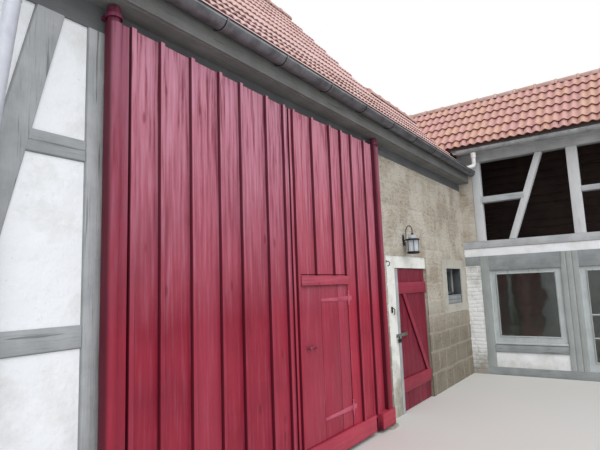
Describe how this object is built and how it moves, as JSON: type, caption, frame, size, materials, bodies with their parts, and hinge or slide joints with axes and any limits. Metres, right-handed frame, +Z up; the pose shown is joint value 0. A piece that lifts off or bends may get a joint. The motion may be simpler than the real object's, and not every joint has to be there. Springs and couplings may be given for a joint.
{
  "type": "farmhouse",
  "caption": "Farmhouse range round a yard corner: timber and stone barn with pivoting board doors, a link, and a wing with an open gallery under tiled roofs.",
  "frame": {"origin": "middle of the whole house's plan box, at ground level", "axes": "+X along the barn front towards the wing, +Y from the yard into the barn, +Z up"},
  "size_m": [13.085, 11.832, 7.9548],
  "materials": {
    "red_boards": "satin oil paint",
    "grey_timber": "weathered matt paint",
    "field_stone": "rough, coursed",
    "lime_plaster": "matt limewash",
    "pale_stone": "matt limewash",
    "roof_tiles": "matt fired clay",
    "zinc": "weathered",
    "iron": "dull",
    "painted_iron": "satin oil paint",
    "glass": "clear",
    "white_pipe": "satin"
  },
  "bodies": {
    "house": {"back_wall": "lime_plaster", "barn_eaves": "grey_timber", "barn_gutter": "zinc", "barn_ridge_caps": "roof_tiles", "barn_roof_back": "roof_tiles", "barn_roof_front": "roof_tiles", "corner_pier": "lime_plaster", "downpipe": "zinc", "front_plaster": "lime_plaster", "front_timber_frame": "grey_timber", "front_wall_plate": "grey_timber", "gallery_floor": "grey_timber", "gallery_frame": "grey_timber", "lantern": "iron", "lantern_bracket": "iron", "left_gable_wall": "lime_plaster", "link_back_wall": "lime_plaster", "link_ridge_caps": "roof_tiles", "link_roof_back": "roof_tiles", "link_roof_front": "roof_tiles", "pivot_collars": "iron", "pivot_stones": "field_stone", "rain_elbow": "white_pipe", "right_gable_wall": "lime_plaster", "small_door_frame": "pale_stone", "small_door_post": "grey_timber", "small_window": "grey_timber", "small_window_glass": "glass", "stone_wall_left": "field_stone", "stone_wall_over_door": "field_stone", "stone_wall_right": "field_stone", "window_surround": "pale_stone", "wing_back_wall": "lime_plaster", "wing_eaves": "grey_timber", "wing_glass": "glass", "wing_gutter": "zinc", "wing_lower_frame": "grey_timber", "wing_plaster": "lime_plaster", "wing_rear_gable": "lime_plaster", "wing_ridge_caps": "roof_tiles", "wing_roof_back": "roof_tiles", "wing_roof_front": "roof_tiles", "wing_sashes": "grey_timber", "wing_yard_gable": "lime_plaster"},
    "left_door": {"left_leaf": "red_boards", "left_pivot_post": "red_boards", "left_post_journal": "red_boards"},
    "right_door": {"right_leaf": "red_boards", "right_pivot_post": "red_boards", "right_post_journal": "red_boards"},
    "wicket": {"wicket_leaf": "red_boards", "wicket_hinges": "painted_iron"},
    "small_door": {"small_door_leaf": "red_boards", "small_door_hasp": "zinc"}
  },
  "joints": [
    {"name": "left_door_swing", "type": "hinge", "parent": "house", "child": "left_door", "pos_m": [-4.3055, -0.539, 1.8], "axis": [0, 0, -1], "range_deg": [0, 95]},
    {"name": "right_door_swing", "type": "hinge", "parent": "house", "child": "right_door", "pos_m": [-0.4175, -0.539, 1.8], "axis": [0, 0, 1], "range_deg": [0, 95]},
    {"name": "wicket_swing", "type": "hinge", "parent": "right_door", "child": "wicket", "pos_m": [-1.3005, -0.548, 1.06], "axis": [0, 0, 1], "range_deg": [0, 95]},
    {"name": "small_door_swing", "type": "hinge", "parent": "house", "child": "small_door", "pos_m": [1.3695, -0.464, 0.99], "axis": [0, 0, 1], "range_deg": [0, 100]}
  ]
}
